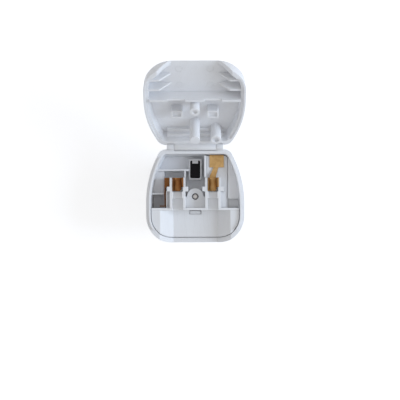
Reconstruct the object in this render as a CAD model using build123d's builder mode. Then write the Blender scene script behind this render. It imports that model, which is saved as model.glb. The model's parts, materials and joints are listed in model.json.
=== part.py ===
from build123d import *
import os
from math import cos, radians, sin

os.makedirs("parts", exist_ok=True)

# Hinged converter plug: a flat two-pin plug is closed into a three-pin mains plug.
# Origin on the pin face midway between line and neutral; +Y to the hinge, pins along -Z.

# Pins of the three-pin plug
pin_pitch = 22.2
earth_rise = 22.2
power_pin_width = 6.35
power_pin_depth = 3.96
power_pin_length = 17.7
earth_pin_width = 3.96
earth_pin_depth = 7.94
earth_pin_length = 22.7
pin_tip_chamfer = 0.9
pin_tip_length = 1.6
sleeve_length = 9.2
sleeve_wall = 0.5
power_head_width = 8.6
power_head_depth = 6.2
power_head_height = 1.6
earth_head_border = 0.5
earth_head_height = 3.2
earth_head_corner = 0.8
rivet_radius = 1.5
rivet_head_radius = 2.2
rivet_head_height = 0.7

# Two-pin plug that is closed in
guest_pin_radius = 2.0
guest_pin_pitch = 17.8
guest_width = 35.3
guest_flat_width = 22.4
guest_body_thickness = 13.7

# Housing outline at the parting plane
housing_width = 49.5
hinge_end_width = 34.4
hinge_end_margin = 3.4
cable_end_y = -15.5
side_bend_y = 5.0
cable_corner_radius = 14.0
hinge_corner_radius = 4.5

# Walls and drafts of the two shells
wall = 2.3
floor_thickness = 2.0
lid_back_thickness = 1.9
outer_draft = 3.0
inner_draft = 4.0
ledge_width = 1.3
lip_height = 1.0
lip_hinge_margin = 4.0
lip_mouth_margin = 7.0
base_edge_chamfer = 1.2
lid_edge_chamfer = 2.3
lid_edge_blend = 0.9

# Clearances
pin_hole_gap = 0.05
rivet_gap = 0.05
guest_gap = 0.25
rim_gap = 0.1
lip_gap = 0.2
insert_gap = 0.3
part_gap = 0.15
post_gap = 0.25
rivet_cover_gap = 0.6

# Hinge
hinge_offset = 1.2
barrel_radius = 1.75
hinge_pin_radius = 0.8
hinge_fit = 0.03
hinge_end_fit = 0.1
barrel_gap = 0.3
lid_barrel_length = 21.0
base_knuckle_length = 3.6
open_angle = 136.0

# Insert that carries trough, cross wall and pin channels
trough_thickness = 1.5
cross_wall_y = 1.3
cross_wall_thickness = 1.2
deck_thickness = 1.0
plateau_thickness = 1.4
channel_wall = 1.3
channel_wall_rise = 1.0
channel_end_y = 17.75
cradle_start_y = 7.25
cradle_end_y = 10.75
cradle_gap = 0.1
shoulder_depth = 0.45
buttress_y = 12.0
buttress_thickness = 2.4
buttress_reach = 1.4
left_deck_edge = 14.7
left_deck_end_y = 11.0
left_fence_thickness = 0.7
left_fence_rise = 1.0
right_deck_edge = 15.6
right_deck_end_y = 10.5
right_deck_rise = 0.6
latch_slot_width = 6.0
latch_slot_depth = 2.1
latch_ledge_width = 0.5
latch_ledge_drop = 0.85
leg_start_y = 4.4

# Brass strip parts
strip = 0.5
clip_start_y = 11.0
clip_wall_start_y = 13.0
clip_tongue_width = 3.9
clip_tongue_corner = 0.9
clip_flare = 0.5
clip_flat_width = 1.6
tab_start_y = 12.75
line_plate_left = 7.3
line_plate_right = 14.55
line_plate_overhang = 0.6
line_neck_left = 9.3
line_neck_right = 11.8
line_strip_width = 3.2
line_ramp_length = 4.6
contact_pad_size = 3.4
neutral_plate_x = -15.35
neutral_plate_end_y = 3.2
neutral_step_drop = 0.9
foot_width = 6.4
foot_edge_gap = 0.6
neutral_flange_length = 2.7
neutral_flange_drop = 4.0

# Cover screw and its boss
screw_y = 8.25
screw_radius = 1.45
screw_head_radius = 2.75
screw_head_height = 2.0
screw_head_recess = 0.4
screw_slot_width = 0.8
screw_slot_depth = 1.0
screw_hole_radius = 1.65
screw_well_radius = 3.1
screw_well_depth = 6.5
screw_boss_radius = 4.2

# Fuse and its drawer
fuse_radius = 3.15
fuse_length = 25.4
fuse_cap_length = 5.6
fuse_cap_wall = 0.18
fuse_cap_fit = 0.02
fuse_start_y = 3.2
fuse_lift = 0.85
fuse_top_gap = 0.15
drawer_panel_thickness = 1.5
drawer_recess = 0.1
drawer_gap = 0.1
drawer_end_gap = 0.2
bay_width = 8.4
bay_wall = 1.15
saddle_length = 10.4
saddle_rise = 0.5
saddle_fit = 0.06
saddle_mouth = 5.2
pull_notch_width = 3.0
pull_notch_length = 1.4
pull_notch_depth = 0.8
leaf_width = 4.0
leaf_gap = 0.05
leaf_top_gap = 0.6

# Ribs, frame and latch inside the base
rib = 0.9
earth_frame_wall = 0.75
earth_frame_rise = 0.6
earth_frame_gap = 0.1
earth_hook_reach = 2.3
earth_hook_width = 3.0
earth_hook_gap = 0.1
fuse_fence_thickness = 1.2
fuse_fence_drop = 2.0
neutral_rib_y = 21.75
neutral_rib_x = -5.2
neutral_rib_top = 9.0
left_rib_y = 9.75
left_rib_top = 9.4
left_shelf_z = 6.5
right_shelf_y = 7.05
right_shelf_z = 11.0
right_pocket_z = 9.0
support_x = 7.4
support_start_y = -4.4
support_length = 8.0
latch_thickness = 0.9
latch_bead_height = 0.65
latch_side_gap = 0.3
latch_end_gap = 0.1
latch_gap = 0.05

# Lid posts, pads and ribs
earth_post_radius = 2.45
line_post_x = 10.4
line_post_radius = 2.65
line_post_recess_radius = 1.5
line_post_recess_depth = 1.2
lid_boss_radius = 2.4
lid_boss_dimple_radius = 1.1
lid_boss_dimple_depth = 0.8
pad_y = 14.25
pad_width = 5.9
pad_depth = 4.6
pad_corner = 0.8
pad_border = 1.0
pad_recess_depth = 0.8
pad_gap = 0.2
lid_wall_y = 4.3
lid_wall_thickness = 1.2
notch_side_gap = 0.2
notch_top_gap = 0.25
gusset_thickness = 1.0
gusset_first_y = -1.5
gusset_pitch = 5.6
gusset_count = 3
gusset_gap = 0.2
gusset_drop = 0.2
terrace_width = 28.0
terrace_low_y = 5.9
terrace_low_drop = 5.4
terrace_high_y = 4.1
terrace_high_drop = 3.4

# Levels that follow from the stack on the base floor and from the two-pin plug
pin_head_top_z = floor_thickness + power_head_height
foot_top_z = pin_head_top_z + strip
trough_base_z = foot_top_z + rivet_head_height + rivet_cover_gap
trough_floor_z = trough_base_z + trough_thickness
lid_depth = guest_body_thickness / 2 + guest_gap
rim_z = trough_floor_z + lid_depth
lid_height = lid_depth + lid_back_thickness
clip_base_z = rim_z - guest_pin_radius - strip
channel_floor_z = clip_base_z - strip
deck_base_z = channel_floor_z - deck_thickness
channel_top_z = rim_z + channel_wall_rise
clip_top_z = channel_top_z + clip_flare
earth_head_top_z = floor_thickness + earth_head_height
earth_frame_top_z = earth_head_top_z + earth_frame_rise
panel_top_z = drawer_recess + drawer_panel_thickness
fuse_z = panel_top_z + fuse_lift + fuse_radius
bay_top_z = fuse_z + fuse_radius + fuse_top_gap
plateau_z = bay_top_z + plateau_thickness
line_plate_top_z = deck_base_z + strip
slope_rise = guest_body_thickness / 2
flange_z = trough_floor_z + slope_rise
mouth_height = lid_depth + 2 * lip_height
gusset_height = lid_depth - lip_height - gusset_drop
latch_top_z = trough_floor_z - latch_ledge_drop + latch_gap + latch_bead_height

# Places in plan that follow from the sizes above
half_width = housing_width / 2
corner_start_y = cable_end_y + cable_corner_radius
corner_end_x = half_width - cable_corner_radius
pin_x = pin_pitch / 2
channel_x = guest_pin_pitch / 2
clip_outer = guest_pin_radius + strip
channel_half = clip_outer + part_gap
block_half = channel_half + channel_wall
cross_wall_back_y = cross_wall_y + cross_wall_thickness
flat_half = guest_flat_width / 2
slope_half = guest_width / 2
slope_lean = (slope_half - flat_half) / slope_rise
mouth_half = flat_half + slope_lean * mouth_height
gusset_foot_x = flat_half + gusset_gap
gusset_top_x = gusset_foot_x + slope_lean * gusset_height
fuse_end_y = fuse_start_y + fuse_length
hinge_end_y = fuse_end_y + hinge_end_margin
lip_start_y = cable_end_y + lip_mouth_margin
lip_end_y = hinge_end_y - lip_hinge_margin
line_plate_start_y = fuse_end_y - fuse_cap_length
line_plate_end_y = fuse_end_y + line_plate_overhang
line_post_y = (line_plate_start_y + line_plate_end_y) / 2
bay_left = pin_x - bay_width / 2
bay_right = pin_x + bay_width / 2
bay_start_y = fuse_start_y - drawer_end_gap - drawer_gap
bay_end_y = fuse_end_y + drawer_end_gap
roof_left = bay_left - bay_wall + part_gap
roof_right = bay_right + bay_wall
roof_end_y = fuse_end_y + drawer_end_gap + drawer_gap
right_shelf_x = roof_right + part_gap
left_shelf_x = neutral_plate_x - strip / 2 - part_gap
hinge_y = hinge_end_y + hinge_offset
knuckle_x = (lid_barrel_length + base_knuckle_length) / 2 + hinge_end_fit
wrap_radius = barrel_radius + barrel_gap
earth_frame_half = earth_pin_width / 2 + earth_head_border + earth_frame_gap + earth_frame_wall
line_strip_left = channel_x - line_strip_width / 2
line_strip_right = channel_x + line_strip_width / 2

# Line of the trough across the plug: flat, two slopes and two flanges
trough_points = [
    (-half_width, flange_z),
    (-slope_half, flange_z),
    (-flat_half, trough_floor_z),
    (flat_half, trough_floor_z),
    (slope_half, flange_z),
    (half_width, flange_z),
]


def lid_y(y):
    """Distance from the hinge axis of a place that lies at y when the lid is closed."""
    return hinge_y - y


def lid_z(z):
    """Height over the lid's own parting plane of a place at z when the lid is closed."""
    return rim_z - z


# The lid lies in its own plane on the hinge axis, opened out from the closed place
tilt = radians(180 - open_angle)
lid_plane = Plane(origin=(0, hinge_y, rim_z), x_dir=(1, 0, 0), z_dir=(0, -sin(tilt), cos(tilt)))
lid_side_plane = Plane(origin=lid_plane.origin, x_dir=lid_plane.y_dir, z_dir=lid_plane.x_dir)
lid_axis = Axis(lid_plane.origin, lid_plane.z_dir)


def lid_cross_plane(y):
    """Plane across the lid on its floor, facing the hinge, at a place that lies at y when closed."""
    floor_point = lid_plane.from_local_coords((0, lid_y(y), -lid_depth))
    return Plane(origin=floor_point, x_dir=lid_plane.x_dir, z_dir=-lid_plane.y_dir)


# Plan outline shared by both shells
with BuildSketch() as outline:
    with BuildLine():
        TangentArc((half_width, side_bend_y), (hinge_end_width / 2, hinge_end_y), tangent=(0, 1))
        Line((half_width, side_bend_y), (half_width, corner_start_y))
        TangentArc((half_width, corner_start_y), (corner_end_x, cable_end_y), tangent=(0, -1))
        mirror(about=Plane.YZ)
        Line((-hinge_end_width / 2, hinge_end_y), (hinge_end_width / 2, hinge_end_y))
        Line((-corner_end_x, cable_end_y), (corner_end_x, cable_end_y))
    make_face()
    fillet(outline.vertices().group_by(Axis.Y)[-1], hinge_corner_radius)

# The same outline seen in the lid's plane
with BuildSketch() as lid_outline:
    with Locations((0, hinge_y)):
        add(mirror(outline.sketch, about=Plane.XZ, mode=Mode.PRIVATE))

# Mouth for the guest plug's body, cut through the cable end of both shells
with BuildSketch() as mouth:
    with BuildLine():
        Polyline(
            (-mouth_half, mouth_height),
            (-flat_half, 0),
            (flat_half, 0),
            (mouth_half, mouth_height),
            close=True,
        )
    make_face()

# Base shell: tapered tray with the pin face below
with BuildPart() as base_shell:
    with BuildSketch(Plane.XY.offset(rim_z)):
        add(outline.sketch)
    extrude(amount=-rim_z, taper=outer_draft)
    chamfer(base_shell.faces().sort_by(Axis.Z)[0].edges(), base_edge_chamfer)
    with BuildSketch(Plane.XY.offset(rim_z)):
        offset(outline.sketch, -wall, mode=Mode.ADD)
    extrude(amount=floor_thickness - rim_z, taper=inner_draft, mode=Mode.SUBTRACT)
    # Lip that registers the lid, stopped short of the hinge and of the mouth
    with BuildSketch(Plane.XY.offset(rim_z)):
        offset(outline.sketch, -ledge_width, mode=Mode.ADD)
        offset(outline.sketch, -wall, mode=Mode.SUBTRACT)
        with Locations((0, lip_start_y)):
            Rectangle(
                housing_width,
                lip_end_y - lip_start_y,
                align=(Align.CENTER, Align.MIN),
                mode=Mode.INTERSECT,
            )
    extrude(amount=lip_height)
    # Cable end is cut down to the line of the trough
    with BuildSketch(Plane.XZ.offset(-cable_end_y - cable_corner_radius / 2)):
        with Locations((0, trough_floor_z)):
            add(mouth.sketch)
    extrude(amount=cable_corner_radius, mode=Mode.SUBTRACT)
    # Walls of the fuse bay, with a taller fence beside the line strip
    with BuildSketch(Plane.XY.offset(floor_thickness)):
        with Locations((bay_left - bay_wall / 2, bay_start_y), (bay_right + bay_wall / 2, bay_start_y)):
            Rectangle(bay_wall, bay_end_y - bay_start_y, align=(Align.CENTER, Align.MIN))
    extrude(amount=bay_top_z - floor_thickness)
    with BuildSketch(Plane.XY.offset(floor_thickness)):
        with Locations((bay_left - bay_wall, channel_end_y + part_gap)):
            Rectangle(fuse_fence_thickness, bay_end_y - channel_end_y, align=(Align.MAX, Align.MIN))
    extrude(amount=rim_z - fuse_fence_drop - floor_thickness)
    # Frame round the head of the earth pin
    with BuildSketch(Plane.XY.offset(floor_thickness)):
        with Locations((0, earth_rise)):
            RectangleRounded(
                2 * earth_frame_half,
                earth_pin_depth + 2 * (earth_head_border + earth_frame_gap + earth_frame_wall),
                earth_frame_wall,
            )
            RectangleRounded(
                earth_pin_width + 2 * (earth_head_border + earth_frame_gap),
                earth_pin_depth + 2 * (earth_head_border + earth_frame_gap),
                earth_head_corner,
                mode=Mode.SUBTRACT,
            )
    extrude(amount=earth_frame_top_z - floor_thickness)
    # Hook over the hinge side of that head
    with BuildSketch(Plane.XY.offset(earth_head_top_z + earth_hook_gap)):
        with Locations((0, earth_rise + earth_pin_depth / 2 + earth_head_border + earth_frame_wall)):
            Rectangle(earth_hook_width, earth_hook_reach, align=(Align.CENTER, Align.MAX))
    extrude(amount=earth_frame_rise - earth_hook_gap)
    # Boss for the cover screw
    with BuildSketch(Plane.XY.offset(floor_thickness)):
        with Locations((0, screw_y)):
            Circle(screw_boss_radius)
    extrude(amount=bay_top_z - floor_thickness)
    # Thin ribs that wall off the neutral compartment, one of them tied to the earth frame
    with BuildSketch(Plane.XY.offset(floor_thickness)):
        with Locations((earth_frame_wall / 2 - earth_frame_half, neutral_rib_y)):
            Rectangle(half_width - 2 * wall, rib, align=(Align.MAX, Align.CENTER))
        with Locations((neutral_rib_x, neutral_rib_y)):
            Rectangle(rib, neutral_rib_y - channel_end_y - part_gap, align=(Align.CENTER, Align.MAX))
        add(offset(outline.sketch, -wall, mode=Mode.PRIVATE), mode=Mode.INTERSECT)
    extrude(amount=neutral_rib_top - floor_thickness)
    # Raised shelf along the left wall that ends in an upright rib
    with BuildSketch(Plane.XY.offset(floor_thickness)):
        offset(outline.sketch, -wall, mode=Mode.ADD)
        with Locations((left_shelf_x, left_rib_y)):
            Rectangle(
                half_width,
                neutral_rib_y - left_rib_y,
                align=(Align.MAX, Align.MIN),
                mode=Mode.INTERSECT,
            )
    extrude(amount=left_shelf_z - floor_thickness)
    with BuildSketch(Plane.XY.offset(floor_thickness)):
        with Locations((left_shelf_x, left_rib_y)):
            Rectangle(half_width - wall + left_shelf_x, rib, align=(Align.MAX, Align.CENTER))
    extrude(amount=left_rib_top - floor_thickness)
    # Shelf along the right wall, with a lower pocket next to the cross wall
    with BuildSketch(Plane.XY.offset(floor_thickness)):
        offset(outline.sketch, -wall, mode=Mode.ADD)
        with Locations((right_shelf_x, right_shelf_y)):
            Rectangle(
                half_width,
                hinge_end_y - right_shelf_y,
                align=(Align.MIN, Align.MIN),
                mode=Mode.INTERSECT,
            )
    extrude(amount=right_shelf_z - floor_thickness)
    with BuildSketch(Plane.XY.offset(floor_thickness)):
        with Locations((right_shelf_x, right_shelf_y)):
            Rectangle(
                half_width - wall - right_shelf_x,
                right_shelf_y - cross_wall_back_y - part_gap,
                align=(Align.MIN, Align.MAX),
            )
    extrude(amount=right_pocket_z - floor_thickness)
    # Bars under the trough
    with BuildSketch(Plane.XY.offset(floor_thickness)):
        with Locations((-support_x, support_start_y), (support_x, support_start_y)):
            Rectangle(rib, support_length, align=(Align.CENTER, Align.MAX))
    extrude(amount=trough_base_z - floor_thickness)
    # Latch that holds the insert down through the slot in its trough
    with BuildSketch(Plane.YZ):
        with Locations((cross_wall_y - latch_side_gap, floor_thickness)):
            Rectangle(latch_thickness, latch_top_z - floor_thickness, align=(Align.MAX, Align.MIN))
        with Locations((cross_wall_y - latch_side_gap, latch_top_z)):
            Rectangle(
                latch_slot_depth - latch_side_gap - latch_end_gap,
                latch_bead_height,
                align=(Align.MAX, Align.MAX),
            )
    extrude(amount=latch_slot_width / 2 - latch_side_gap, both=True)
    # Hinge knuckles and the hollow that clears the lid's barrel
    for side in (-1, 1):
        with BuildSketch(Plane.YZ.offset(side * knuckle_x)):
            with Locations((hinge_y, rim_z)):
                Circle(barrel_radius)
                Rectangle(hinge_offset + wall / 2, barrel_radius, align=(Align.MAX, Align.MAX))
        extrude(amount=base_knuckle_length / 2, both=True)
    with BuildSketch(Plane.YZ):
        with Locations((hinge_y, rim_z)):
            Circle(wrap_radius)
    extrude(amount=lid_barrel_length / 2 + hinge_end_fit, both=True, mode=Mode.SUBTRACT)
    with BuildSketch(Plane.YZ):
        with Locations((hinge_y, rim_z)):
            Circle(hinge_pin_radius + hinge_fit)
    extrude(amount=half_width, both=True, mode=Mode.SUBTRACT)
    # Holes for the pins, the fuse drawer and the screw
    with BuildSketch():
        with Locations((-pin_x, 0), (pin_x, 0)):
            Rectangle(power_pin_width + 2 * pin_hole_gap, power_pin_depth + 2 * pin_hole_gap)
        with Locations((0, earth_rise)):
            Rectangle(earth_pin_width + 2 * pin_hole_gap, earth_pin_depth + 2 * pin_hole_gap)
        with Locations((pin_x, bay_start_y)):
            Rectangle(bay_width, bay_end_y - bay_start_y, align=(Align.CENTER, Align.MIN))
    extrude(amount=floor_thickness, mode=Mode.SUBTRACT)
    with BuildSketch():
        with Locations((0, screw_y)):
            Circle(screw_well_radius)
    extrude(amount=screw_well_depth, mode=Mode.SUBTRACT)
    with BuildSketch():
        with Locations((0, screw_y)):
            Circle(screw_hole_radius)
    extrude(amount=bay_top_z, mode=Mode.SUBTRACT)
base_shell.part.label = "base_shell"
export_step(base_shell.part, "parts/base_shell.step")

# Insert: trough, cross wall and the two channels for the guest pins
with BuildPart() as contact_carrier:
    with BuildSketch(Plane.XZ.offset(-cross_wall_back_y)):
        with BuildLine():
            Polyline(trough_points)
            offset(amount=trough_thickness, side=Side.RIGHT, kind=Kind.INTERSECTION)
        make_face()
    extrude(amount=cross_wall_back_y - cable_end_y)
    with BuildSketch(Plane.XZ.offset(-cross_wall_back_y)):
        with BuildLine():
            Polyline((-half_width, rim_z), *trough_points, (half_width, rim_z), close=True)
        make_face()
    extrude(amount=cross_wall_thickness)
    # Roof over the fuse, with a window under the line plate
    with BuildSketch(Plane.XY.offset(bay_top_z)):
        with Locations((roof_left, cross_wall_back_y)):
            Rectangle(roof_right - roof_left, roof_end_y - cross_wall_back_y, align=(Align.MIN, Align.MIN))
        with Locations((pin_x, fuse_end_y - fuse_cap_length / 2)):
            Rectangle(contact_pad_size + 2 * part_gap, contact_pad_size + 2 * part_gap, mode=Mode.SUBTRACT)
    extrude(amount=deck_base_z - bay_top_z)
    # All of it follows the housing's inner wall, draft included
    with BuildSketch(Plane.XY.offset(rim_z)):
        offset(outline.sketch, -wall - insert_gap, mode=Mode.ADD)
    extrude(amount=-rim_z, taper=inner_draft, mode=Mode.INTERSECT)
    # Slot for the latch, with a sunk ledge that its bead catches
    with BuildSketch(Plane.XY.offset(trough_floor_z)):
        with Locations((0, cross_wall_y)):
            Rectangle(latch_slot_width, latch_slot_depth, align=(Align.CENTER, Align.MAX))
    extrude(amount=-latch_ledge_drop, mode=Mode.SUBTRACT)
    with BuildSketch(Plane.XY.offset(trough_floor_z)):
        with Locations((0, cross_wall_y)):
            Rectangle(latch_slot_width, latch_slot_depth - latch_ledge_width, align=(Align.CENTER, Align.MAX))
    extrude(amount=-trough_thickness, mode=Mode.SUBTRACT)
    # Decks left and right of the channels, with a low fence on the left
    with BuildSketch(Plane.XY.offset(deck_base_z)):
        with Locations((-channel_x, cross_wall_back_y)):
            Rectangle(
                left_deck_edge - channel_x,
                left_deck_end_y - cross_wall_back_y,
                align=(Align.MAX, Align.MIN),
            )
    extrude(amount=deck_thickness)
    with BuildSketch(Plane.XY.offset(deck_base_z)):
        with Locations((-left_deck_edge, cross_wall_back_y)):
            Rectangle(left_fence_thickness, left_deck_end_y - cross_wall_back_y, align=(Align.MIN, Align.MIN))
    extrude(amount=deck_thickness + left_fence_rise)
    with BuildSketch(Plane.XY.offset(deck_base_z)):
        with Locations((channel_x, cross_wall_back_y)):
            Rectangle(
                right_deck_edge - channel_x,
                right_deck_end_y - cross_wall_back_y,
                align=(Align.MIN, Align.MIN),
            )
    extrude(amount=right_deck_rise)
    # Plateau with the round boss over the cover screw
    with BuildSketch(Plane.XY.offset(bay_top_z)):
        with Locations((0, cross_wall_back_y)):
            Rectangle(2 * channel_x, screw_y - cross_wall_back_y, align=(Align.CENTER, Align.MIN))
        with Locations((0, screw_y)):
            Circle(screw_boss_radius)
    extrude(amount=plateau_thickness)
    # Channel blocks with shoulders and cross buttresses
    with BuildSketch(Plane.XY.offset(bay_top_z)):
        with Locations((-channel_x, cross_wall_back_y), (channel_x, cross_wall_back_y)):
            Rectangle(2 * block_half, channel_end_y - cross_wall_back_y, align=(Align.CENTER, Align.MIN))
        with Locations((-channel_x, buttress_y), (channel_x, buttress_y)):
            Rectangle(2 * (block_half + buttress_reach), buttress_thickness)
    extrude(amount=channel_top_z - bay_top_z)
    with BuildSketch(Plane.XY.offset(channel_floor_z)):
        with Locations((-channel_x, cross_wall_y), (channel_x, cross_wall_y)):
            Rectangle(2 * channel_half, channel_end_y - cross_wall_y, align=(Align.CENTER, Align.MIN))
    extrude(amount=channel_top_z - channel_floor_z, mode=Mode.SUBTRACT)
    with BuildSketch(Plane.XY.offset(channel_floor_z)):
        for side in (-1, 1):
            with Locations((side * channel_x - channel_half, cradle_start_y)):
                Rectangle(shoulder_depth, cradle_end_y - cradle_start_y, align=(Align.MIN, Align.MIN))
            with Locations((side * channel_x + channel_half, cradle_start_y)):
                Rectangle(shoulder_depth, cradle_end_y - cradle_start_y, align=(Align.MAX, Align.MIN))
    extrude(amount=channel_top_z - channel_floor_z)
    with BuildSketch(Plane.XY.offset(channel_floor_z)):
        with Locations((-channel_x, cradle_start_y), (channel_x, cradle_start_y)):
            Rectangle(2 * channel_half, cradle_end_y - cradle_start_y, align=(Align.CENTER, Align.MIN))
    extrude(amount=rim_z - guest_pin_radius - cradle_gap - channel_floor_z)
    # Slot in the left channel wall for the neutral tab, and a leg below that wall
    with BuildSketch(Plane.XY.offset(channel_floor_z)):
        with Locations((-channel_x, tab_start_y - part_gap)):
            Rectangle(
                2 * block_half,
                channel_end_y - tab_start_y + 2 * part_gap,
                align=(Align.MAX, Align.MIN),
            )
    extrude(amount=strip + part_gap, mode=Mode.SUBTRACT)
    with BuildSketch(Plane.XY.offset(floor_thickness)):
        with Locations((-channel_x - channel_half, leg_start_y)):
            Rectangle(channel_wall, buttress_y - leg_start_y, align=(Align.MAX, Align.MIN))
    extrude(amount=deck_base_z - floor_thickness)
    # Hole for the screw
    with BuildSketch(Plane.XY.offset(bay_top_z)):
        with Locations((0, screw_y)):
            Circle(screw_hole_radius)
    extrude(amount=plateau_thickness, mode=Mode.SUBTRACT)
contact_carrier.part.label = "contact_carrier"
export_step(contact_carrier.part, "parts/contact_carrier.step")

# Gusset ribs of the lid that guide the guest plug's body, ending inside the wall
with BuildPart() as gussets:
    for index in range(gusset_count):
        with BuildSketch(lid_cross_plane(gusset_first_y - index * gusset_pitch)):
            with BuildLine():
                Polyline(
                    (gusset_foot_x, 0),
                    (gusset_top_x, gusset_height),
                    (half_width, gusset_height),
                    (half_width, 0),
                    close=True,
                )
            make_face()
            mirror(about=Plane.YZ)
        extrude(amount=gusset_thickness / 2, both=True)
    with BuildSketch(lid_plane.offset(-lid_depth)):
        offset(lid_outline.sketch, -wall / 2, mode=Mode.ADD)
    extrude(amount=lid_depth, mode=Mode.INTERSECT)

# Lid: shallow tray with posts that hold the brass and the guest pins down
with BuildPart() as lid:
    with BuildSketch(lid_plane.offset(-rim_gap)):
        add(lid_outline.sketch)
    extrude(amount=rim_gap - lid_height, taper=outer_draft)
    # Back edge rounded in three facets
    chamfer(lid.faces().sort_by(lid_axis)[0].edges(), lid_edge_chamfer)
    edge_levels = lid.edges().group_by(lid_axis)
    chamfer(edge_levels[0] + edge_levels[2], lid_edge_blend)
    with BuildSketch(lid_plane.offset(-rim_gap)):
        offset(lid_outline.sketch, -wall, mode=Mode.ADD)
    extrude(amount=rim_gap - lid_depth, taper=inner_draft, mode=Mode.SUBTRACT)
    # Rebate that takes the lip of the base
    with BuildSketch(lid_plane.offset(-rim_gap)):
        offset(lid_outline.sketch, lip_gap - ledge_width, mode=Mode.ADD)
        with Locations((0, lid_y(lip_end_y + lip_gap))):
            Rectangle(
                housing_width,
                lip_end_y - lip_start_y + 2 * lip_gap,
                align=(Align.CENTER, Align.MIN),
                mode=Mode.INTERSECT,
            )
    extrude(amount=-lip_height, mode=Mode.SUBTRACT)
    # Cable end is cut down to the floor along the slopes of the guest plug
    with BuildSketch(lid_cross_plane(cable_end_y - cable_corner_radius / 2)):
        add(mouth.sketch)
    extrude(amount=cable_corner_radius, mode=Mode.SUBTRACT)
    # Terraces that thicken the hinge end
    with BuildSketch(lid_plane.offset(-lid_depth)):
        with Locations((0, hinge_offset + wall / 2)):
            Rectangle(terrace_width, terrace_low_y - wall / 2, align=(Align.CENTER, Align.MIN))
    extrude(amount=lid_depth - terrace_low_drop)
    with BuildSketch(lid_plane.offset(-lid_depth)):
        with Locations((0, hinge_offset + wall / 2)):
            Rectangle(terrace_width, terrace_high_y - wall / 2, align=(Align.CENTER, Align.MIN))
    extrude(amount=lid_depth - terrace_high_drop)
    # Cross wall up to the parting plane, inside the lip of the base and notched over the channels
    with BuildSketch(lid_plane.offset(-lid_depth)):
        with Locations((0, lid_y(lid_wall_y))):
            Rectangle(housing_width - wall, lid_wall_thickness)
    extrude(amount=lid_depth - lip_height - rim_gap)
    with BuildSketch(lid_plane.offset(-lid_depth)):
        with Locations((0, lid_y(lid_wall_y))):
            Rectangle(housing_width - 2 * (wall + lip_gap), lid_wall_thickness)
    extrude(amount=lid_depth - rim_gap)
    with BuildSketch(lid_plane.offset(lid_z(channel_top_z) - notch_top_gap)):
        with Locations((-channel_x, lid_y(lid_wall_y)), (channel_x, lid_y(lid_wall_y))):
            Rectangle(2 * (block_half + notch_side_gap), 2 * lid_wall_thickness)
    extrude(amount=lid_depth, mode=Mode.SUBTRACT)
    add(gussets.part)
    # Post over the earth pin head
    with BuildSketch(lid_plane.offset(-lid_depth)):
        with Locations((0, lid_y(earth_rise))):
            Circle(earth_post_radius)
    extrude(amount=lid_depth + lid_z(earth_frame_top_z + post_gap))
    # Post over the line plate, dished at its end
    with BuildSketch(lid_plane.offset(-lid_depth)):
        with Locations((line_post_x, lid_y(line_post_y))):
            Circle(line_post_radius)
    extrude(amount=lid_depth + lid_z(line_plate_top_z + post_gap))
    with BuildSketch(lid_plane.offset(lid_z(line_plate_top_z + post_gap))):
        with Locations((line_post_x, lid_y(line_post_y))):
            Circle(line_post_recess_radius)
    extrude(amount=-line_post_recess_depth, mode=Mode.SUBTRACT)
    # Boss that stands on the plateau, dimpled to clear the screw tip
    with BuildSketch(lid_plane.offset(-lid_depth)):
        with Locations((0, lid_y(screw_y))):
            Circle(lid_boss_radius)
    extrude(amount=lid_depth + lid_z(plateau_z + post_gap))
    with BuildSketch(lid_plane.offset(lid_z(plateau_z + post_gap))):
        with Locations((0, lid_y(screw_y))):
            Circle(lid_boss_dimple_radius)
    extrude(amount=-lid_boss_dimple_depth, mode=Mode.SUBTRACT)
    # Pads over the two clips, dished on top
    with BuildSketch(lid_plane.offset(-lid_depth)):
        with Locations((-channel_x, lid_y(pad_y)), (channel_x, lid_y(pad_y))):
            RectangleRounded(pad_width, pad_depth, pad_corner)
    extrude(amount=lid_depth + lid_z(rim_z + guest_pin_radius + pad_gap))
    with BuildSketch(lid_plane.offset(lid_z(rim_z + guest_pin_radius + pad_gap))):
        with Locations((-channel_x, lid_y(pad_y)), (channel_x, lid_y(pad_y))):
            Rectangle(pad_width - 2 * pad_border, pad_depth - 2 * pad_border)
    extrude(amount=-pad_recess_depth, mode=Mode.SUBTRACT)
    # Barrel on the hinge axis, and hollows that clear the knuckles of the base
    with BuildSketch(lid_side_plane):
        Circle(barrel_radius)
        Rectangle(hinge_offset + wall / 2, barrel_radius, align=(Align.MIN, Align.MAX))
    extrude(amount=lid_barrel_length / 2, both=True)
    for side in (-1, 1):
        with BuildSketch(lid_side_plane.offset(side * knuckle_x)):
            Circle(wrap_radius)
        extrude(amount=base_knuckle_length / 2 + hinge_end_fit, both=True, mode=Mode.SUBTRACT)
    with BuildSketch(lid_side_plane):
        Circle(hinge_pin_radius + hinge_fit)
    extrude(amount=half_width, both=True, mode=Mode.SUBTRACT)
lid.part.label = "lid"
export_step(lid.part, "parts/lid.step")

# Hinge pin: plain rod through all knuckles
with BuildPart() as hinge_pin:
    with BuildSketch(Plane.YZ):
        with Locations((hinge_y, rim_z)):
            Circle(hinge_pin_radius)
    extrude(amount=knuckle_x + base_knuckle_length / 2, both=True)
hinge_pin.part.label = "hinge_pin"
export_step(hinge_pin.part, "parts/hinge_pin.step")

# Earth pin: plastic shutter pin with a flat head
with BuildPart() as earth_pin:
    with BuildSketch(Plane.XY.offset(floor_thickness)):
        with Locations((0, earth_rise)):
            RectangleRounded(
                earth_pin_width + 2 * earth_head_border,
                earth_pin_depth + 2 * earth_head_border,
                earth_head_corner,
            )
    extrude(amount=earth_head_height)
    with BuildSketch(Plane.XY.offset(floor_thickness)):
        with Locations((0, earth_rise)):
            Rectangle(earth_pin_width, earth_pin_depth)
    extrude(amount=-floor_thickness - earth_pin_length)
    chamfer(earth_pin.faces().sort_by(Axis.Z)[0].edges(), pin_tip_length, pin_tip_chamfer)
earth_pin.part.label = "earth_pin"
export_step(earth_pin.part, "parts/earth_pin.step")

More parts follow.
